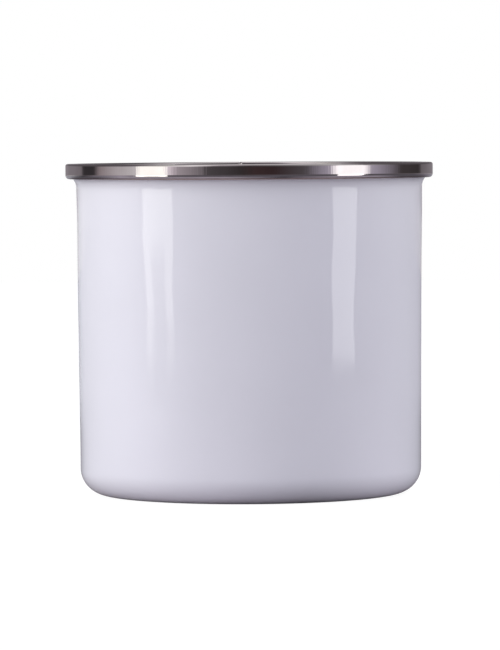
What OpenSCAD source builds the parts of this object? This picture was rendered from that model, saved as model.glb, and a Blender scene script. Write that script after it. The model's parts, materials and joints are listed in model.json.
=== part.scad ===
// Enamelled steel drinking mug with a crimped stainless-steel rim and one strap handle.
// The origin is the centre of the foot, on the plane the mug stands on. +Z is up and
// the handle is on the +Y side. All sizes are in millimetres and degrees.
//
// The cup, the rim and the handle are all bent from thin sheet. So each is drawn as a
// path of straights and bends along the middle of its sheet, and every layer of that
// sheet is the strip between two offsets from its path.

/* [Cup] */
// Height from the foot to the top of the rim
cup_h = 81; // [78:1:95]
// Outside diameter of the enamelled wall where the flare starts
wall_d = 84.7; // [84.2:0.1:84.9]
// Lean of the wall, which is narrower at the foot
wall_draft = 0.45; // [0.1:0.05:1.5]
// Outside radius between the wall and the foot
corner_r = 6.5; // [5:0.5:12]
// Thickness of the drawn steel sheet
steel_t = 0.5; // [0.4:0.05:0.6]
// Thickness of the enamel on each face
enamel_t = 0.25; // [0.15:0.05:0.3]
// Outside radius of the flare under the rim
flare_r = 3.7; // [3.5:0.1:4]

/* [Foot] */
// Radius of the raised panel under the mug
panel_r = 26; // [18:1:26]
// Radius of the two small bends that raise the panel
panel_bend_r = 3; // [2:0.5:3]
// Turn of those two bends, which sets how far the panel is raised
panel_turn = 30; // [15:1:35]

/* [Rim band] */
// Outside diameter of the stainless band
rim_d = 90; // [89.8:0.1:90.4]
// Height of the band
band_h = 3.7; // [3.4:0.1:4]
// Inside diameter of the band, which is the mouth of the mug
mouth_d = 84.6; // [84.3:0.1:85]
// Thickness of the stainless strip
strip_t = 0.3; // [0.2:0.05:0.35]
// How far the seam lies to one side of the handle, round the rim
seam_side = 1.6; // [-10:0.2:10]
// Gap between the two ends of the strip
seam_gap = 0.1; // [0.05:0.05:0.3]
// Length of the tongue that bridges that gap from inside
seam_lap = 2.1; // [1.5:0.1:4]

/* [Handle] */
// Width of the strap
strap_w = 15; // [12:0.5:18]
// Thickness of the strap's web
strap_t = 0.7; // [0.6:0.05:1]
// Width and depth of the rolled bead along each edge of the strap
bead_d = 2.2; // [1.8:0.1:2.6]
// Distance from the top of the rim down to the upper end of the strap
strap_below_rim = 8.5; // [8:0.5:12]
// Length of each tab that is welded to the wall
tab_l = 6; // [5:0.5:8]
// Straight length from the upper tab out to the grip
reach_l = 10; // [6:0.5:14]
// Radius of the two bends of the grip
grip_r = 14; // [11:0.5:15]
// Straight length of the grip
grip_l = 6; // [1:0.5:7]
// Diameter of each spot weld
weld_d = 3; // [2.5:0.1:4]
// Distance between the two spot welds of a tab
weld_pitch = 7; // [6:0.5:8]

/* [Hidden] */
$fn = 128;

white = [0.93, 0.93, 0.95];
bare_steel = [0.45, 0.46, 0.48];
stainless = [0.78, 0.76, 0.76];
weld_grey = [0.36, 0.36, 0.38];

// ---- Paths ----
// A path starts at the origin, heading along +X. A straight in it is [length]. A bend in
// it is [radius, angle], where a positive angle turns left and a negative one right.
arc_step = 6;

function is_bend(piece) = len(piece) == 2;
function heading(angle) = [cos(angle), sin(angle)];
function left_of(angle) = [-sin(angle), cos(angle)];

// Signed radius of a bend, positive when it turns left
function turn_r(bend) = sign(bend[1]) * bend[0];

// Where a path is after part t of one more piece: [point, angle]
function onward(at, piece, t) =
    is_bend(piece)
        ? let (angle = at[1] + t * piece[1])
          [at[0] + turn_r(piece) * (left_of(at[1]) - left_of(angle)), angle]
        : [at[0] + t * piece[0] * heading(at[1]), at[1]];

function after(path, count) =
    count == 0 ? [[0, 0], 0] : onward(after(path, count - 1), path[count - 1], 1);

function path_end(path) = after(path, len(path))[0];

function steps(piece) = is_bend(piece) ? ceil(abs(piece[1]) / arc_step) : 1;

// Points along a path, at an offset to its left
function edge(path, offset) = concat([[0, offset]], [
    for (i = [0 : len(path) - 1], step = [1 : steps(path[i])])
        let (at = onward(after(path, i), path[i], step / steps(path[i])))
        at[0] + offset * left_of(at[1])
]);

function backwards(points) = [for (i = [len(points) - 1 : -1 : 0]) points[i]];

// The strip of a sheet between two offsets from its path
module strip(path, low, high) {
    polygon(concat(edge(path, low), backwards(edge(path, high))));
}

// ---- Cup ----
// Depth of the outside of the enamel from the middle of the sheet
skin = steel_t / 2 + enamel_t;
band_z = cup_h - band_h;
// The sheet has turned this far where it passes the lower edge of the band.
turn_at_band = 38;
flare_z = band_z - flare_r * sin(turn_at_band);
sheet_end_turn = 65;
outer_enamel_end_turn = 50;
inner_enamel_end_turn = 54;

corner_mid_r = corner_r - skin;
wall_l = (flare_z - skin - corner_mid_r * (1 - sin(wall_draft))) / cos(wall_draft);
panel_lift = 2 * panel_bend_r * (1 - cos(panel_turn));
foot_ring_w = wall_d / 2 - skin - corner_mid_r * cos(wall_draft) - wall_l * sin(wall_draft)
              - panel_r - 2 * panel_bend_r * sin(panel_turn);

// From the centre of the foot out to the lip, with the inside of the cup on the left
function cup_path(lip_turn) = [
    [panel_r],
    [panel_bend_r, -panel_turn],
    [panel_bend_r, panel_turn],
    [foot_ring_w],
    [corner_mid_r, 90 - wall_draft],
    [wall_l],
    [flare_r + skin, wall_draft - lip_turn]
];

module cup_layer(low, high, lip_turn) {
    rotate_extrude() translate([0, skin + panel_lift]) strip(cup_path(lip_turn), low, high);
}

// Everything inside one offset of the cup, up to the flare
module cup_filled(low) {
    rotate_extrude() translate([0, skin + panel_lift])
        polygon(concat(edge(cup_path(20), low), [[0, cup_h - 8]]));
}

module cup_shell() {
    color(bare_steel) difference() {
        cup_layer(-steel_t / 2, steel_t / 2, sheet_end_turn);
        weld_nuggets();
    }
}

module outer_enamel() {
    color(white) difference() {
        cup_layer(-skin, -steel_t / 2, outer_enamel_end_turn);
        strap_body(0);
    }
}

module inner_enamel() {
    color(white) cup_layer(steel_t / 2, skin, inner_enamel_end_turn);
}

// ---- Rim band ----
half_strip = strip_t / 2;
band_low_r = 0.9;
band_top_r = 0.5;
band_in_r = 0.5;
crimp_gap = 0.03;
flare_x = wall_d / 2 + flare_r;
// The lower lip of the band starts where it meets the enamel under the flare.
lip_x = flare_x - sqrt(pow(flare_r, 2) - pow(band_z + strip_t - flare_z, 2)) + crimp_gap;
// The inner leg of the band ends where it meets the enamel on top of the flare.
leg_z = flare_z + crimp_gap
        + sqrt(pow(flare_r + 2 * skin, 2) - pow(flare_x - mouth_d / 2 - strip_t, 2));

band_wall = [
    [band_low_r - half_strip, 90],
    [band_h - band_low_r - band_top_r],
    [band_top_r - half_strip, 90]
];
band_path = concat(
    [[rim_d / 2 - band_low_r - lip_x]],
    band_wall,
    [[rim_d / 2 - band_top_r - mouth_d / 2 - band_in_r],
     [band_in_r - half_strip, 90],
     [cup_h - band_in_r - leg_z]]);

module seam_tongue() {
    lap_turn = 360 * seam_lap / (PI * rim_d);
    overlap = strip_t / 5;
    rotate([0, 0, 90 - lap_turn / 2]) rotate_extrude(angle = lap_turn)
        translate([rim_d / 2 - band_low_r, band_z + half_strip])
            strip(band_wall, half_strip - overlap, half_strip + strip_t - overlap);
}

module rim_band() {
    color(stainless) rotate([0, 0, seam_side]) {
        difference() {
            rotate_extrude() translate([lip_x, band_z + half_strip])
                strip(band_path, -half_strip, half_strip);
            translate([-seam_gap / 2, 0, band_z - 1]) cube([seam_gap, rim_d, band_h + 2]);
        }
        seam_tongue();
    }
}

// ---- Handle ----
half_strap = strap_t / 2;
tab_bend_r = 3;
foot_bend_r = 6;
// The reach rises, the grip leans back to the wall, and the return falls.
reach_rise = 8;
grip_lean = 2;
return_turn = 70;
return_slope = grip_lean + return_turn;
reach_bend = [tab_bend_r, 90 + reach_rise];
grip_path = [[reach_l], [grip_r, -90 - reach_rise - grip_lean], [grip_l],
             [grip_r, -return_turn]];
foot_bend = [foot_bend_r, return_slope];
// The return runs back to the line of the wall.
return_l = (path_end(concat([reach_bend], grip_path))[1]
            - foot_bend_r * (1 - cos(return_slope))) / sin(return_slope);
loop_path = concat([reach_bend], grip_path, [[return_l]], [foot_bend]);

// How deep the tabs are pressed into the wall's round
bedding = 0.05;
wall_at_flare = wall_d / 2 - enamel_t;

// Puts a drawing on the back of the cup: x runs down the wall and y points away from it,
// with the origin on the steel, level with the start of the flare.
module on_wall(width) {
    translate([-width / 2, wall_at_flare, flare_z]) rotate([-wall_draft, 0, 0])
        rotate([0, 90, 0]) linear_extrude(width) children();
}

strap_start = strap_below_rim - (cup_h - flare_z);

// The strap lies on the wall, with its outside on the left of its path.
module on_strap_line(start, width) {
    on_wall(width) translate([start, half_strap - bedding]) children();
}

// The strap with both beads, grown by coat on every side
module strap_body(coat) {
    full = concat([[tab_l + coat]], loop_path, [[tab_l + coat]]);
    difference() {
        on_strap_line(strap_start - coat, strap_w + 2 * coat)
            strip(full, half_strap - bead_d - coat, half_strap + coat);
        on_strap_line(strap_start + tab_l, strap_w - 2 * bead_d - 2 * coat)
            strip(loop_path, -2 * bead_d, -half_strap - coat);
    }
}

module handle_strap() {
    color(bare_steel) difference() {
        strap_body(0);
        cup_filled(-steel_t / 2);
        weld_nuggets();
    }
}

module handle_enamel() {
    color(white) difference() {
        strap_body(enamel_t);
        strap_body(0);
        cup_filled(-skin);
    }
}

// ---- Spot welds ----
// Each nugget reaches through most of the wall's sheet and half of the strap's.
weld_in_wall = 0.9 * steel_t;
lower_tab_start = strap_start + tab_l + path_end(loop_path)[0];

module weld_nuggets() {
    for (tab = [strap_start, lower_tab_start], side = [-1, 1])
        translate([side * weld_pitch / 2, 0, 0])
            on_weld_line(tab + tab_l / 2) cylinder(d = weld_d, h = weld_in_wall + half_strap);
}

// Stands a weld on the wall at a distance down it from the start of the flare
module on_weld_line(down) {
    translate([0, wall_at_flare, flare_z]) rotate([-wall_draft, 0, 0])
        translate([0, -weld_in_wall, -down]) rotate([-90, 0, 0]) children();
}

module spot_welds() {
    color(weld_grey) weld_nuggets();
}

cup_shell();
outer_enamel();
inner_enamel();
rim_band();
handle_strap();
handle_enamel();
spot_welds();
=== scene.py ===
import json
from math import cos, degrees, pi, radians, sin, sqrt, tan

import bpy
import numpy as np
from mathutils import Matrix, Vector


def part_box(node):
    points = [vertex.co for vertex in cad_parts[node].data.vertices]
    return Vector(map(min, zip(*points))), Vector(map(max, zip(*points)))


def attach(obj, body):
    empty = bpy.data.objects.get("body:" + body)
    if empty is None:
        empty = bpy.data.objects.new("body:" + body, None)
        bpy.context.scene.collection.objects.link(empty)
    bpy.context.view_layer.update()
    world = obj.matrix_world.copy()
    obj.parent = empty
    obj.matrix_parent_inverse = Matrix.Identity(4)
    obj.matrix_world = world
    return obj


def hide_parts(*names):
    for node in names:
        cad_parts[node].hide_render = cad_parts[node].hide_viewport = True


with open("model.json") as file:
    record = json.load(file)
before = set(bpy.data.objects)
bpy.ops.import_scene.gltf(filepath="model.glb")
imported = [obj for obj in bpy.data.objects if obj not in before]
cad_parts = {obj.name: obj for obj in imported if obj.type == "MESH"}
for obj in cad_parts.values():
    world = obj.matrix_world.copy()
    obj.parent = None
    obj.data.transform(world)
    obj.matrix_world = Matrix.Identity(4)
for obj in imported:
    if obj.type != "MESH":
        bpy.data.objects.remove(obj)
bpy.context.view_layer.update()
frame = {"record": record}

import openvdb
from mathutils import Euler, Vector

# Lengths are in millimetres until a mesh is made, and angles are in degrees.
MM = 0.001

# ---------------------------------------------------------------- sizes from the frame
rim_low, rim_high = (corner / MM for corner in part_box("rim_band"))
handle_low, handle_high = (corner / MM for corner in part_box("handle_enamel"))
MOUNTS = {mount["name"]: mount for mount in frame["record"]["mounts"]}

RIM_R = rim_high.x
CUP_H = rim_high.z
BAND_Z = rim_low.z
MOUTH_R = MOUNTS["mouth"]["dims"]["r_mm"]

# ---------------------------------------------------------------- sizes of the pressings
WALL_R = 42.35
WALL_DRAFT = 0.45
CORNER_R = 6.5
STEEL_T = 0.5
ENAMEL_T = 0.25
SKIN = STEEL_T / 2 + ENAMEL_T
FLARE_R = 3.7
TURN_AT_BAND = 38
FLARE_Z = BAND_Z - FLARE_R * sin(radians(TURN_AT_BAND))
OUTER_ENAMEL_END_TURN = 50
INNER_ENAMEL_END_TURN = 54
PANEL_R = 26
PANEL_BEND_R = 3
PANEL_TURN = 30

STRIP_T = 0.3
BAND_LOW_R = 0.9
BAND_TOP_R = 0.5
BAND_IN_R = 0.5
# Height of the painted shade, a warm brown darkening of the band's lowest edge at the crimp
CRIMP_SHADE_H = 0.45
# The seam: the turn over which the strip is joggled in, how far it laps, and the turn from
# the middle of the back to the lap
JOGGLE = 0.4
SEAM_LAP = 2.1
SEAM_SIDE = 1.6

STRAP_W = handle_high.x - handle_low.x - 2 * ENAMEL_T
STRAP_T = 0.7
BEAD_R = 1.1
STRAP_TOP = handle_high.z - ENAMEL_T
TAB_L = 6
TAB_CORNER_R = 4


# ---------------------------------------------------------------- paths
# A path starts at the origin, heading along the first axis. A straight in it is (length,).
# A bend in it is (radius, angle), where a positive angle turns left.
def walk(path, arc_step=4.0, straight_step=1.5):
    """Points along a path and the direction to the left of it at each point."""
    at = np.zeros(2)
    angle = 0.0
    points = [at]
    lefts = [np.array([0.0, 1.0])]
    for piece in path:
        if len(piece) == 2:
            radius, turn = piece
            count = max(1, round(abs(turn) / arc_step))
            signed_r = radius * np.sign(turn)
            centre = at + signed_r * left_of(angle)
            for step in range(1, count + 1):
                left = left_of(angle + turn * step / count)
                points.append(centre - signed_r * left)
                lefts.append(left)
            angle += turn
        else:
            count = max(1, round(piece[0] / straight_step))
            ahead = np.array([cos(radians(angle)), sin(radians(angle))])
            for step in range(1, count + 1):
                points.append(at + ahead * piece[0] * step / count)
                lefts.append(left_of(angle))
        at = points[-1]
    return np.array(points), np.array(lefts)


def left_of(angle):
    return np.array([-sin(radians(angle)), cos(radians(angle))])


def strip(path, low, high, start=(0, 0), **steps):
    """The closed outline of a sheet between two offsets from its path."""
    points, lefts = walk(path, **steps)
    return np.concatenate([points + low * lefts, (points + high * lefts)[::-1]]) + start


# ---------------------------------------------------------------- mesh helpers
def new_piece(name, points, faces, replaced, material):
    """A smooth piece of the mug that stands for CAD nodes and rides with them."""
    mesh = bpy.data.meshes.new(name)
    mesh.from_pydata((np.asarray(points) * MM).tolist(), [], faces)
    mesh.shade_smooth()
    mesh.materials.append(material)
    mesh.update()
    piece = bpy.data.objects.new(name, mesh)
    bpy.context.collection.objects.link(piece)
    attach(piece, "root")
    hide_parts(*replaced)
    return piece


def revolve(outline, off_round=None, segments=320):
    """Points and faces of a closed outline of (radius, height), turned about the axis.

    off_round gives how far the points at some angles and one height stand off a true round.
    """
    points = []
    rings = []
    angles = np.arange(segments) * 2 * pi / segments
    for radius, height in outline:
        if radius < 1e-6:
            rings.append([len(points)] * segments)
            points.append((0, 0, height))
            continue
        radii = radius + (off_round(angles, height) if off_round else 0)
        rings.append(range(len(points), len(points) + segments))
        ring = [radii * np.cos(angles), radii * np.sin(angles), np.full(segments, height)]
        points.extend(np.stack(ring, axis=1).tolist())
    faces = []
    for lower, upper in zip(rings, rings[1:] + rings[:1]):
        for i in range(segments):
            j = (i + 1) % segments
            corners = [lower[i], lower[j], upper[j], upper[i]]
            face = list(dict.fromkeys(corners))
            if len(face) > 2:
                faces.append(face)
    return points, faces


# ---------------------------------------------------------------- material helpers
def add_node(tree, kind, inputs=None, **settings):
    """A node with its settings, and its inputs given as values or as other nodes' outputs."""
    made = tree.nodes.new(kind)
    for key, value in settings.items():
        setattr(made, key, value)
    for key, value in (inputs or {}).items():
        if isinstance(value, bpy.types.NodeSocket):
            tree.links.new(value, made.inputs[key])
        else:
            made.inputs[key].default_value = value
    return made


def math_node(tree, operation, first, second=0.0):
    return add_node(tree, "ShaderNodeMath", {0: first, 1: second}, operation=operation).outputs[0]


def scaled(tree, factor, low, high, from_low=0.0, from_high=1.0):
    """Maps a factor onto low to high, clamped."""
    ranges = {"Value": factor, "From Min": from_low, "From Max": from_high,
              "To Min": low, "To Max": high}
    return add_node(tree, "ShaderNodeMapRange", ranges).outputs["Result"]


def ramp(tree, factor, stops):
    """A colour ramp over 0 to 1 from (place, colour) stops."""
    made = add_node(tree, "ShaderNodeValToRGB", {"Fac": factor})
    elements = made.color_ramp.elements
    while len(elements) < len(stops):
        elements.new(1.0)
    for element, (place, colour) in zip(elements, stops):
        element.position = place
        element.color = (*colour, 1.0)
    return made.outputs["Color"]


def mixed(tree, factor, first, second):
    """A colour between two, each given as a tuple or as another node's output."""
    ends = {key: (*end, 1) if isinstance(end, tuple) else end
            for key, end in (("A", first), ("B", second))}
    return add_node(tree, "ShaderNodeMix", {"Factor": factor, **ends},
                    data_type="RGBA").outputs["Result"]


def noise(tree, where, scale, detail=2.0, roughness=0.5):
    """Smooth noise round 0.5, with about one feature in every 1 / scale metres."""
    settings = {"Vector": where, "Scale": scale, "Detail": detail, "Roughness": roughness}
    return add_node(tree, "ShaderNodeTexNoise", settings).outputs["Fac"]


def new_material(name):
    """A material, its tree, its Principled node and the place on the object in metres."""
    material = bpy.data.materials.new(name)
    material.use_nodes = True
    tree = material.node_tree
    surface = tree.nodes["Principled BSDF"]
    where = add_node(tree, "ShaderNodeTexCoord").outputs["Object"]
    return material, tree, surface, where


def bump(tree, height, distance, strength=1.0, normal=None):
    inputs = {"Height": height, "Distance": distance, "Strength": strength}
    if normal is not None:
        inputs["Normal"] = normal
    return add_node(tree, "ShaderNodeBump", inputs).outputs["Normal"]


# ---------------------------------------------------------------- materials
def white_enamel(name, colour):
    """Fired enamel: glossy glass with a faint orange peel, tiny pits and an uneven tint."""
    material, tree, surface, where = new_material(name)
    cloud = noise(tree, where, 45, detail=3)
    tint = mixed(tree, scaled(tree, cloud, 0.0, 1.0, 0.35, 0.65),
                 tuple(0.985 * c for c in colour), colour)
    cells = add_node(tree, "ShaderNodeTexVoronoi", {"Vector": where, "Scale": 120})
    pit_depth = scaled(tree, cells.outputs["Distance"], 0.0, 1.0, 0.0, 0.05)
    tree.links.new(tint, surface.inputs["Base Color"])
    tree.links.new(scaled(tree, noise(tree, where, 500), 0.02, 0.045, 0.3, 0.7),
                   surface.inputs["Roughness"])
    surface.inputs["IOR"].default_value = 1.52
    peel = bump(tree, noise(tree, where, 260, detail=1), 0.00002)
    tree.links.new(bump(tree, pit_depth, 0.00001, normal=peel), surface.inputs["Normal"])
    return material


def rim_stainless():
    """Bright stainless strip, finely streaked across its width, with painted shade darkening its
    lowest edge at the crimp.
    """
    material, tree, surface, where = new_material("rim_stainless")
    upright = add_node(tree, "ShaderNodeMapping", {"Vector": where, "Scale": (1, 1, 0.03)})
    grain = noise(tree, upright.outputs["Vector"], 1600, detail=3, roughness=0.7)
    patches = noise(tree, where, 160, detail=2)
    colour = mixed(tree, scaled(tree, patches, 0.0, 1.0, 0.4, 0.6),
                   (0.58, 0.54, 0.54), (0.62, 0.58, 0.585))
    height = add_node(tree, "ShaderNodeSeparateXYZ", {0: where}).outputs["Z"]
    # Painted shade: the lowest edge of the band is painted a darker warm brown. It stands in for
    # the shade and dim reflections under the strip at the crimp.
    crimp_shade = scaled(tree, height, 0.85, 0.0, (BAND_Z + 0.6 * CRIMP_SHADE_H) * MM,
                   (BAND_Z + CRIMP_SHADE_H) * MM)
    tree.links.new(mixed(tree, crimp_shade, colour, (0.30, 0.21, 0.185)), surface.inputs["Base Color"])
    surface.inputs["Metallic"].default_value = 1.0
    roughness = math_node(tree, "ADD", scaled(tree, grain, 0.02, 0.04, 0.35, 0.65),
                          math_node(tree, "MULTIPLY", crimp_shade, 0.15))
    tree.links.new(roughness, surface.inputs["Roughness"])
    tree.links.new(bump(tree, grain, 0.00001), surface.inputs["Normal"])
    return material


def bare_metal(name, colour, roughness):
    """Pickled sheet or weld metal, dull and grainy, hidden under the enamel."""
    material, tree, surface, where = new_material(name)
    grain = noise(tree, where, 1500, detail=4, roughness=0.6)
    shade = ramp(tree, grain, [(0.3, [0.8 * c for c in colour]), (0.7, colour)])
    tree.links.new(shade, surface.inputs["Base Color"])
    surface.inputs["Metallic"].default_value = 1.0
    tree.links.new(scaled(tree, grain, roughness - 0.08, roughness + 0.08),
                   surface.inputs["Roughness"])
    tree.links.new(bump(tree, grain, 0.00001), surface.inputs["Normal"])
    return material


outside_white = white_enamel("outside_white", (0.80, 0.79, 0.855))
inside_white = white_enamel("inside_white", (0.80, 0.79, 0.84))
stainless = rim_stainless()
sheet_steel = bare_metal("sheet_steel", (0.42, 0.42, 0.44), 0.4)
weld_steel = bare_metal("weld_steel", (0.32, 0.31, 0.32), 0.5)


# ---------------------------------------------------------------- cup
CORNER_MID_R = CORNER_R - SKIN
WALL_L = ((FLARE_Z - SKIN - CORNER_MID_R * (1 - sin(radians(WALL_DRAFT))))
          / cos(radians(WALL_DRAFT)))
PANEL_LIFT = 2 * PANEL_BEND_R * (1 - cos(radians(PANEL_TURN)))
FOOT_RING_W = (WALL_R - SKIN - CORNER_MID_R * cos(radians(WALL_DRAFT))
               - WALL_L * sin(radians(WALL_DRAFT))
               - PANEL_R - 2 * PANEL_BEND_R * sin(radians(PANEL_TURN)))


def cup_path(lip_turn):
    """From the centre of the foot out to the lip, with the inside of the cup on the left."""
    return [(PANEL_R,), (PANEL_BEND_R, -PANEL_TURN), (PANEL_BEND_R, PANEL_TURN),
            (FOOT_RING_W,), (CORNER_MID_R, 90 - WALL_DRAFT), (WALL_L,),
            (FLARE_R + SKIN, WALL_DRAFT - lip_turn)]


# Each wave in the coat, as (waves round the cup, climb in radians a millimetre, size, phase)
RIPPLES = [(3, 0.11, 0.030, 0.4), (7, 0.17, 0.016, 2.1), (13, 0.23, 0.008, 4.4),
           (19, 0.31, 0.005, 1.2), (5, 0.45, 0.007, 3.3)]
# The middle of the waves lies this much inside a true round.
RIPPLE_INSET = 0.03
# They fade in from this height over the next length up, and fade out just below the flare.
FADE_IN_Z = 2
FADE_IN_L = 10
FADE_OUT_L = 6


def ripple(angles, height):
    """How far the fired coat stands off a true round, in slow waves that fade at the ends."""
    off = sum(size * np.sin(waves * angles + climb * height + phase)
              for waves, climb, size, phase in RIPPLES)
    fade_low = min(1.0, max(0.0, (height - FADE_IN_Z) / FADE_IN_L))
    fade_high = min(1.0, max(0.0, (FLARE_Z - height) / FADE_OUT_L))
    return (off - RIPPLE_INSET) * fade_low * fade_high


def make_cup():
    start = (0, SKIN + PANEL_LIFT)
    outside = strip(cup_path(OUTER_ENAMEL_END_TURN), -SKIN, -STEEL_T / 2, start)
    points, faces = revolve(outside, ripple)
    new_piece("enamel_outside", points, faces, ["outer_enamel"], outside_white)
    inside = strip(cup_path(INNER_ENAMEL_END_TURN), STEEL_T / 2, SKIN, start)
    points, faces = revolve(inside)
    new_piece("enamel_inside", points, faces, ["inner_enamel"], inside_white)


# ---------------------------------------------------------------- rim band
HALF_STRIP = STRIP_T / 2
CRIMP_GAP = 0.03
LAP_GAP = 0.02
FLARE_X = WALL_R + FLARE_R
LIP_X = FLARE_X - sqrt(FLARE_R**2 - (BAND_Z + STRIP_T - FLARE_Z)**2) + CRIMP_GAP
LEG_Z = (FLARE_Z + CRIMP_GAP
         + sqrt((FLARE_R + 2 * SKIN)**2 - (FLARE_X - MOUTH_R - STRIP_T)**2))
BAND_PATH = [(RIM_R - BAND_LOW_R - LIP_X,), (BAND_LOW_R - HALF_STRIP, 90),
             (CUP_H - BAND_Z - BAND_LOW_R - BAND_TOP_R,), (BAND_TOP_R - HALF_STRIP, 90),
             (RIM_R - BAND_TOP_R - MOUTH_R - BAND_IN_R,), (BAND_IN_R - HALF_STRIP, 90),
             (CUP_H - BAND_IN_R - LEG_Z,)]


def make_rim_band(segments=480, lap_segments=12):
    """The strip goes once round and its last two millimetres pass under its first ones."""
    points, lefts = walk(BAND_PATH, arc_step=9, straight_step=0.35)
    start = np.array([LIP_X, BAND_Z + HALF_STRIP])
    lap = degrees(SEAM_LAP / RIM_R)
    seam = 90 + SEAM_SIDE + lap / 2
    angles = np.concatenate([np.linspace(0, 360 - JOGGLE, segments),
                             np.linspace(360 - 0.8 * JOGGLE, 360 + lap, lap_segments)])
    rings = []
    for angle in angles:
        # The end that passes under is joggled in by the thickness of the strip.
        under = np.clip((angle - 360 + JOGGLE) / JOGGLE, 0, 1)
        tuck = (STRIP_T + LAP_GAP) * under * under * (3 - 2 * under)
        low = points + (tuck - HALF_STRIP) * lefts
        high = points + (tuck + HALF_STRIP) * lefts
        outline = np.concatenate([low, high[::-1]]) + start
        turn = radians(seam - angle)
        rings.append(np.stack([outline[:, 0] * cos(turn), outline[:, 0] * sin(turn),
                               outline[:, 1]], axis=1))
    count = len(rings[0])
    last = len(rings) - 1
    faces = [[a * count + i, a * count + j, (a + 1) * count + j, (a + 1) * count + i]
             for a in range(last) for i in range(count) for j in [(i + 1) % count]]
    faces.append(list(reversed(range(count))))
    faces.append([last * count + i for i in range(count)])
    new_piece("rim_strip", np.concatenate(rings), faces, ["rim_band"], stainless)


# ---------------------------------------------------------------- handle
TAB_BEND_R = 3
FOOT_BEND_R = 6
REACH_RISE = 8
REACH_L = 10
GRIP_R = 14
GRIP_L = 6
GRIP_LEAN = 2
RETURN_TURN = 70
RETURN_SLOPE = GRIP_LEAN + RETURN_TURN
# How deep the tabs are pressed into the wall's round
BEDDING = 0.05
# Widths over which the bead runs into the web, and the coat of the handle into the wall's
BEAD_BLEND = 0.5
MELT_W = 1.3
# How far from the strap the melted coat reaches, and how far it goes down into the wall's
MELT_REACH = 3.0
MELT_DEPTH = 0.75
# The coat thins out by this much from the first distance off the strap to the second.
MELT_SINK = 0.16
SINK_FROM = 0.6
SINK_TO = 2.0
FIELD_MARGIN = 4


def handle_path():
    """From the upper tab round the grip to the lower tab, with the outside on the left."""
    start = [(TAB_L,), (TAB_BEND_R, 90 + REACH_RISE), (REACH_L,),
             (GRIP_R, -90 - REACH_RISE - GRIP_LEAN), (GRIP_L,), (GRIP_R, -RETURN_TURN)]
    out = walk(start)[0][-1][1]
    return_l = ((out - FOOT_BEND_R * (1 - cos(radians(RETURN_SLOPE))))
                / sin(radians(RETURN_SLOPE)))
    return start + [(return_l,), (FOOT_BEND_R, RETURN_SLOPE), (TAB_L,)]


def soft_min(first, second, width):
    blend = np.clip(0.5 + 0.5 * (second - first) / width, 0, 1)
    return second + (first - second) * blend - width * blend * (1 - blend)


def soft_max(first, second, width):
    return -soft_min(-first, -second, width)


def strap_line(y, z):
    """Distance along the strap's path and offset to its left, at points of its middle plane.

    The third result is the path's length.
    """
    points, lefts = walk(handle_path(), arc_step=1.5, straight_step=0.3)
    lean = radians(WALL_DRAFT)
    down = np.array([-sin(lean), -cos(lean)])
    out = np.array([cos(lean), -sin(lean)])
    start_down = (FLARE_Z - STRAP_TOP) / cos(lean)
    origin = (np.array([WALL_R - ENAMEL_T, FLARE_Z]) + down * start_down
              + out * (STRAP_T / 2 - BEDDING))
    places = origin + points[:, :1] * down + points[:, 1:] * out
    normals = lefts[:, :1] * down + lefts[:, 1:] * out
    aheads = np.stack([normals[:, 1], -normals[:, 0]], axis=1)
    along = np.concatenate([[0], np.cumsum(np.linalg.norm(np.diff(points, axis=0), axis=1))])
    best = np.full(y.shape, np.inf)
    run = np.zeros(y.shape)
    side = np.zeros(y.shape)
    for place, normal, ahead, passed in zip(places, normals, aheads, along):
        dy = y - place[0]
        dz = z - place[1]
        far = dy * dy + dz * dz
        closer = far < best
        best = np.where(closer, far, best)
        run = np.where(closer, passed + dy * ahead[0] + dz * ahead[1], run)
        side = np.where(closer, dy * normal[0] + dz * normal[1], side)
    return run, side, along[-1]


def handle_field(coat, voxel=0.24):
    """Signed distance to the strap grown by coat, melted into the wall where it's enamel.

    The other results are the lowest corner of its grid and the size of a voxel.
    """
    low = np.array([-STRAP_W / 2, WALL_R, handle_low.z]) - FIELD_MARGIN
    high = np.array([STRAP_W / 2, handle_high.y, handle_high.z]) + FIELD_MARGIN
    counts = np.ceil((high - low) / voxel).astype(int)
    xs, ys, zs = (low[i] + voxel * np.arange(counts[i]) for i in range(3))
    y2, z2 = np.meshgrid(ys, zs, indexing="ij")
    run, side, length = strap_line(y2, z2)
    x = xs[:, None, None]
    y = ys[None, :, None]
    z = zs[None, None, :]
    half_t = STRAP_T / 2
    off = side[None] + x * x / (2 * WALL_R)
    web = np.maximum(np.abs(off) - half_t, np.abs(x) - STRAP_W / 2 + BEAD_R)
    bead = np.hypot(np.abs(x) - STRAP_W / 2 + BEAD_R, off + BEAD_R - half_t) - BEAD_R
    body = soft_min(web, bead, BEAD_BLEND) - coat
    end = np.maximum(-run, run - length)[None] - coat
    across = np.abs(x) - STRAP_W / 2 - coat
    corner = np.hypot(np.maximum(end + TAB_CORNER_R, 0), np.maximum(across + TAB_CORNER_R, 0))
    outline = corner + np.minimum(np.maximum(end, across) + TAB_CORNER_R, 0) - TAB_CORNER_R
    strap = soft_max(body, outline, BEAD_BLEND)
    wall = np.hypot(x, y) - (WALL_R - (FLARE_Z - z) * tan(radians(WALL_DRAFT)))
    if coat:
        sink = MELT_SINK * np.clip((strap - SINK_FROM) / (SINK_TO - SINK_FROM), 0, 1)
        melted = soft_min(strap, wall + sink, MELT_W)
        field = np.maximum(np.maximum(melted, strap - MELT_REACH), -wall - MELT_DEPTH)
    else:
        field = np.maximum(strap, -(wall + ENAMEL_T))
    return field, low, voxel


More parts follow.
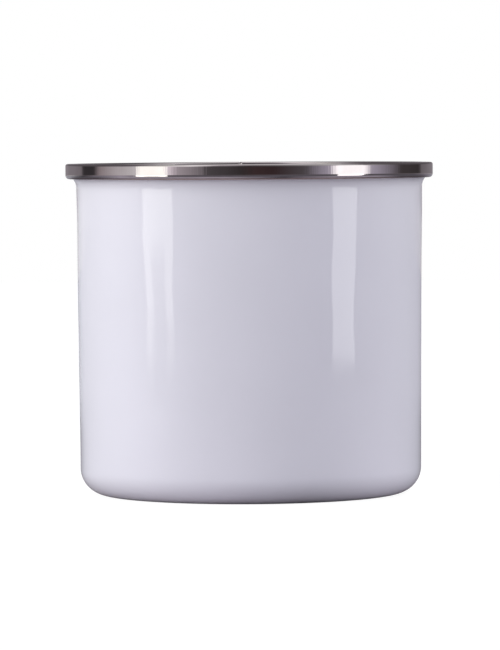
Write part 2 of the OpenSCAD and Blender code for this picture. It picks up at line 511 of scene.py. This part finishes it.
def make_handle(name, coat, replaced, material):
    field, low, voxel = handle_field(coat)
    grid = openvdb.FloatGrid(background=4.0)
    grid.copyFromArray(np.ascontiguousarray(field, dtype=np.float32))
    grid.transform = openvdb.createLinearTransform(voxelSize=1.0)
    points, quads = grid.convertToQuads(isovalue=0.0)
    new_piece(name, points * voxel + low, quads.tolist(), replaced, material)


# ---------------------------------------------------------------- camera
CAMERA_AWAY = 1130
CAMERA_HEIGHT = 88.3
AIM_HEIGHT = 41.24
CAMERA_ROLL = -0.35
FOCAL_LENGTH = 255.2


def make_camera():
    data = bpy.data.cameras.new("camera")
    data.lens = FOCAL_LENGTH
    data.sensor_width = 36
    data.clip_start = 0.01
    data.clip_end = 50
    camera = bpy.data.objects.new("camera", data)
    bpy.context.collection.objects.link(camera)
    camera.location = (0, -CAMERA_AWAY * MM, CAMERA_HEIGHT * MM)
    aim = Vector((0, 0, AIM_HEIGHT * MM)) - camera.location
    look = aim.to_track_quat("-Z", "Y")
    roll = Euler((0, 0, radians(CAMERA_ROLL))).to_quaternion()
    camera.rotation_mode = "QUATERNION"
    camera.rotation_quaternion = look @ roll
    bpy.context.scene.camera = camera


# ---------------------------------------------------------------- studio
# Tints of what the mug sees round it, for a brightness of 1
WHITE = (1.0, 0.98, 1.0)
GREY = (1.0, 0.91, 0.99)
WARM = (1.0, 0.86, 0.90)
COOL = (1.0, 0.93, 1.13)
RED = (1.0, 0.64, 0.66)
# Tints of the soft light, from the sides and from in front
PALE = (1.0, 1.04, 1.06)
BLUISH = (1.0, 0.98, 1.18)


def tinted(brightness, tint):
    return tuple(brightness * part for part in tint)


# The camera sees this much of the mug's own shadow on a floor that is burnt out to this tone.
FLOOR_SHADOW = 0.15
FLOOR_BURN = 1.1
# The floor's colour that the mug sees, with painted light and shade: painted contact shade close
# to its foot, a painted pool of light in front of it, a painted shadow in the dim patch in front
# and to the right, and its own shadow painted behind
FLOOR_UNDER = tinted(0.41, GREY)
FLOOR_NEAR = tinted(0.46, GREY)
FLOOR_DIM = tinted(0.09, GREY)
FLOOR_SHADE = tinted(0.14, GREY)
# The painted shadow of the dim patch: its middle, to the right, its width, and how much is left of
# it at the foot
DIM_TURN = 20
DIM_WIDTH = 70
DIM_UNDER = 0.6
# Where one tone gives way to the next, in metres from the axis and, last, to the back of it
UNDER_TO_NEAR = (0.05, 0.1)
NEAR_TO_FAR = (0.15, 0.4)
SHADE_TO_FAR = (0.25, 0.45)
FRONT_TO_BACK = (-0.03, 0.06)

SOFTBOX_AWAY = 405
SOFTBOX_H = 620
# The height up to which a softbox's share of light in reflections changes
SEEN_H = 200
# A hollow one is dim between these parts of its width, and below these heights in metres.
HOLLOW_FROM = (0.25, 0.34)
HOLLOW_TO = (0.71, 0.78)
HOLLOW_TOP = (0.036, 0.054)


def new_glow(name):
    """A material with an empty tree, for things that only give light."""
    material = bpy.data.materials.new(name)
    material.use_nodes = True
    material.node_tree.nodes.clear()
    return material, material.node_tree


def make_stage_mesh(name, corners, faces, material):
    mesh = bpy.data.meshes.new(name)
    mesh.from_pydata(corners, [], faces)
    mesh.materials.append(material)
    thing = bpy.data.objects.new(name, mesh)
    bpy.context.collection.objects.link(thing)
    return thing


def make_floor(half=1.6):
    """A pale floor that the camera sees burnt out to white, as in a product picture.

    The mug sees painted light and shade in its colour: a painted pool of light in front, a painted
    shadow in a dim patch, and its own shadow painted behind.
    """
    material, tree = new_glow("floor_white")
    pale = add_node(tree, "ShaderNodeBsdfDiffuse", {"Color": (0.9, 0.9, 0.9, 1)}).outputs[0]
    burnt = add_node(tree, "ShaderNodeEmission", {"Strength": FLOOR_BURN}).outputs[0]
    seen = add_node(tree, "ShaderNodeMixShader", {0: FLOOR_SHADOW, 1: burnt, 2: pale}).outputs[0]
    where = add_node(tree, "ShaderNodeTexCoord").outputs["Object"]
    away = add_node(tree, "ShaderNodeVectorMath", {0: where}, operation="LENGTH").outputs["Value"]
    parts = add_node(tree, "ShaderNodeSeparateXYZ", {0: where}).outputs
    turn = math_node(tree, "ARCTAN2", parts["X"], math_node(tree, "MULTIPLY", parts["Y"], -1.0))
    far = round_about(tree, turn, SEEN_BEYOND)
    # Painted light and shade in the colour the mug sees: darker painted contact shade at the foot,
    # a painted pool of light further out, a painted dim patch and a painted shadow behind
    lit = mixed(tree, scaled(tree, away, 0.0, 1.0, *UNDER_TO_NEAR), FLOOR_UNDER, FLOOR_NEAR)
    off_dim = math_node(tree, "ABSOLUTE", math_node(tree, "SUBTRACT", turn, radians(DIM_TURN)))
    dim = math_node(tree, "MULTIPLY", scaled(tree, off_dim, 1.0, 0.0, 0.0, radians(DIM_WIDTH / 2)),
                    scaled(tree, away, DIM_UNDER, 1.0, *UNDER_TO_NEAR))
    lit = mixed(tree, dim, lit, FLOOR_DIM)
    front = mixed(tree, scaled(tree, away, 0.0, 1.0, *NEAR_TO_FAR), lit, far)
    behind = mixed(tree, scaled(tree, away, 0.0, 1.0, *SHADE_TO_FAR), FLOOR_SHADE, far)
    pool = mixed(tree, scaled(tree, parts["Y"], 0.0, 1.0, *FRONT_TO_BACK), front, behind)
    bounce = add_node(tree, "ShaderNodeBsdfDiffuse", {"Color": pool}).outputs[0]
    camera_ray = add_node(tree, "ShaderNodeLightPath").outputs["Is Camera Ray"]
    both = add_node(tree, "ShaderNodeMixShader", {0: camera_ray, 1: bounce, 2: seen}).outputs[0]
    add_node(tree, "ShaderNodeOutputMaterial", {"Surface": both})
    corners = [(-half, -half, 0), (half, -half, 0), (half, half, 0), (-half, half, 0)]
    make_stage_mesh("floor", corners, [(0, 1, 2, 3)], material)


def on_circle(turn, height):
    """A place round the mug, at an angle to the right of the camera's side."""
    return (SOFTBOX_AWAY * MM * sin(radians(turn)), -SOFTBOX_AWAY * MM * cos(radians(turn)),
            height * MM)


def make_softbox(name, rows, colour, strength, seen, hollow=0.0):
    """A glowing panel round the mug, through rows of (height, left turn, right turn).

    In reflections it shows a share of its strength at each height: seen gives (height, share)
    pairs. A hollow one is dimmer in the middle of its lower end, between its side frames.
    """
    material, tree = new_glow(name)
    coordinates = add_node(tree, "ShaderNodeTexCoord").outputs
    height = add_node(tree, "ShaderNodeSeparateXYZ", {0: coordinates["Object"]}).outputs["Z"]
    across = add_node(tree, "ShaderNodeSeparateXYZ", {0: coordinates["Generated"]}).outputs["X"]
    middle = math_node(tree, "MULTIPLY", scaled(tree, across, 0.0, 1.0, *HOLLOW_FROM),
                       scaled(tree, across, 1.0, 0.0, *HOLLOW_TO))
    low = scaled(tree, height, 1.0, 0.0, *HOLLOW_TOP)
    dimmed = math_node(tree, "MULTIPLY", math_node(tree, "MULTIPLY", middle, low), -hollow)
    at_height = ramp(tree, scaled(tree, height, 0.0, 1.0, 0.0, SEEN_H * MM),
                     [(z / SEEN_H, (share, share, share)) for z, share in seen])
    shown = math_node(tree, "MULTIPLY", math_node(tree, "ADD", dimmed, 1.0), at_height)
    reflected = add_node(tree, "ShaderNodeLightPath").outputs["Is Glossy Ray"]
    share = add_node(tree, "ShaderNodeMix", {"Factor": reflected, "A": 1.0, "B": shown})
    light = add_node(tree, "ShaderNodeEmission", {
        "Color": (*colour, 1),
        "Strength": math_node(tree, "MULTIPLY", share.outputs["Result"], strength)})
    add_node(tree, "ShaderNodeOutputMaterial", {"Surface": light.outputs[0]})
    corners = [on_circle(turn, height) for height, *turns in rows for turn in turns]
    faces = [(i, i + 1, i + 3, i + 2) for i in range(0, 2 * len(rows) - 2, 2)]
    make_stage_mesh(name, corners, faces, material).visible_camera = False


# Light round the mug, as (degrees to the right of the camera's side, brightness, tint).
# First what it sees at its own height
AT_EYE_LEVEL = [
    # The grey room behind it, and a dark flag
    (-180, 0.3, GREY), (-130, 0.25, GREY), (-127, 0.05, GREY), (-113, 0.05, GREY),
    # The warm side of the room, up to the left softbox and the light that spills from it
    (-107, 0.35, WARM), (-75, 0.8, WHITE), (-72, 1.7, WHITE), (-56, 1.7, WHITE),
    (-50, 0.9, GREY), (-45, 0.5, GREY), (-30, 0.25, GREY), (-26, 0.1, GREY),
    # The dark side of the room, where the camera stands
    (-5, 0.05, WARM), (4, 0.06, RED), (16, 0.05, RED), (35, 0.1, GREY),
    # The light that spills from the right softbox, the softbox, and a dark flag beyond it
    (51, 0.5, COOL), (56, 1.7, WHITE), (77, 1.7, WHITE), (82, 0.5, COOL), (110, 0.07, WARM),
    (133, 0.05, WARM), (138, 0.2, GREY), (180, 0.3, GREY),
]
# The soft light from above that, most of it from the left and from behind on the right
LOW_LIGHT = [
    (-180, 1.1, PALE), (-60, 3.1, PALE), (0, 0.65, BLUISH), (60, 0.95, PALE),
    (120, 2.9, PALE), (180, 1.1, PALE),
]
HIGH_LIGHT = [
    (-180, 0.95, PALE), (-75, 1.45, PALE), (0, 0.5, BLUISH), (60, 0.4, PALE), (90, 0.7, PALE),
    (180, 0.95, PALE),
]
OVERHEAD = (0.05, 0.05, 0.2)
# What its glossy surfaces see instead: above eye level, overhead and past the floor
SEEN_ABOVE = [
    (-180, 0.15, GREY), (-110, 0.12, GREY), (-85, 0.25, GREY), (-60, 0.9, WHITE),
    (-38, 1.2, WHITE), (-22, 0.3, GREY), (0, 0.1, GREY), (30, 0.25, WHITE),
    (65, 0.65, WHITE), (110, 0.1, GREY), (180, 0.15, GREY),
]
SEEN_OVERHEAD = tinted(0.95, WHITE)
SEEN_BEYOND = [
    (-180, 0.5, WHITE), (-150, 0.5, WHITE), (-125, 0.1, GREY), (-85, 0.5, GREY),
    (-50, 0.18, GREY), (-20, 0.15, GREY), (125, 0.16, GREY), (150, 0.35, GREY),
    (180, 0.5, WHITE),
]
# The soft light from past the floor
BEYOND_THE_FLOOR = (0.62, 0.62, 0.71)
# A colour ramp holds nothing brighter than 1, so its colours are divided by this.
RAMP_TOP = 3.4


def round_about(tree, turn, stops):
    """The colour at a turn round the mug, from (degrees to the right, brightness, tint)."""
    at_turn = ramp(tree, scaled(tree, turn, 0.0, 1.0, -pi, pi),
                   [(to_right / 360 + 0.5, tinted(brightness / RAMP_TOP, tint))
                    for to_right, brightness, tint in stops])
    return add_node(tree, "ShaderNodeVectorMath", {0: at_turn, "Scale": RAMP_TOP},
                    operation="SCALE").outputs[0]


def make_world():
    """Light in bands by elevation, seen one way in reflections and another as soft light.

    The camera itself sees plain white where it looks past the floor.
    """
    world = bpy.data.worlds.new("studio")
    bpy.context.scene.world = world
    world.use_nodes = True
    tree = world.node_tree
    tree.nodes.clear()
    way = add_node(tree, "ShaderNodeTexCoord").outputs["Generated"]
    parts = add_node(tree, "ShaderNodeSeparateXYZ", {0: way}).outputs
    turn = math_node(tree, "ARCTAN2", parts["X"], math_node(tree, "MULTIPLY", parts["Y"], -1.0))
    elevation = math_node(tree, "MULTIPLY", math_node(tree, "ARCSINE", parts["Z"]), 180 / pi)

    def stacked(lowest, *bands):
        """Colours laid over the lowest, each from (elevation it fades in from, to, colour)."""
        stack = lowest
        for start, end, colour in bands:
            stack = mixed(tree, scaled(tree, elevation, 0.0, 1.0, start, end), stack, colour)
        return stack

    horizon = (-1.3, -1.0, round_about(tree, turn, AT_EYE_LEVEL))
    reflected = stacked(round_about(tree, turn, SEEN_BEYOND), horizon,
                        (2, 8, round_about(tree, turn, SEEN_ABOVE)),
                        (50, 75, SEEN_OVERHEAD))
    soft_light = stacked(BEYOND_THE_FLOOR, horizon,
                         (3.5, 6.5, round_about(tree, turn, LOW_LIGHT)),
                         (18, 26, round_about(tree, turn, HIGH_LIGHT)),
                         (40, 70, OVERHEAD))
    rays = add_node(tree, "ShaderNodeLightPath").outputs
    colour = mixed(tree, rays["Is Glossy Ray"], soft_light, reflected)
    colour = mixed(tree, rays["Is Camera Ray"], colour, (1.0, 1.0, 1.0))
    background = add_node(tree, "ShaderNodeBackground", {"Color": colour}).outputs[0]
    add_node(tree, "ShaderNodeOutputWorld", {"Surface": background})


# ---------------------------------------------------------------- build
make_cup()
make_rim_band()
make_handle("handle_coat", ENAMEL_T, ["handle_enamel"], outside_white)
make_handle("handle_steel", 0.0, ["handle_strap"], sheet_steel)
for node_name, material in (("cup_shell", sheet_steel), ("spot_welds", weld_steel)):
    for holder in bpy.data.objects[node_name].material_slots:
        holder.material = material

make_camera()
make_floor()
make_softbox("softbox_left",
             [(1, -68.3, -49.6), (62, -71.4, -49.5), (72, -70, -50), (SOFTBOX_H, -70, -50)],
             colour=(1.0, 1.0, 0.95), strength=4.05, hollow=0.8,
             seen=[(1, 0), (14, 0.25), (25, 0.55), (66, 0.69), (74, 0.42), (100, 0.42),
                   (150, 0.2)])
make_softbox("softbox_right",
             [(1, 53.2, 69.6), (50, 54, 71.2), (64, 54.4, 72.7), (SOFTBOX_H, 54.4, 72.7)],
             colour=(0.99, 0.99, 1.0), strength=3.3,
             seen=[(1, 0), (12, 0.75), (66, 0.81), (74, 0.52), (100, 0.52), (150, 0.25)])
make_world()
bpy.context.scene.view_settings.view_transform = "Standard"
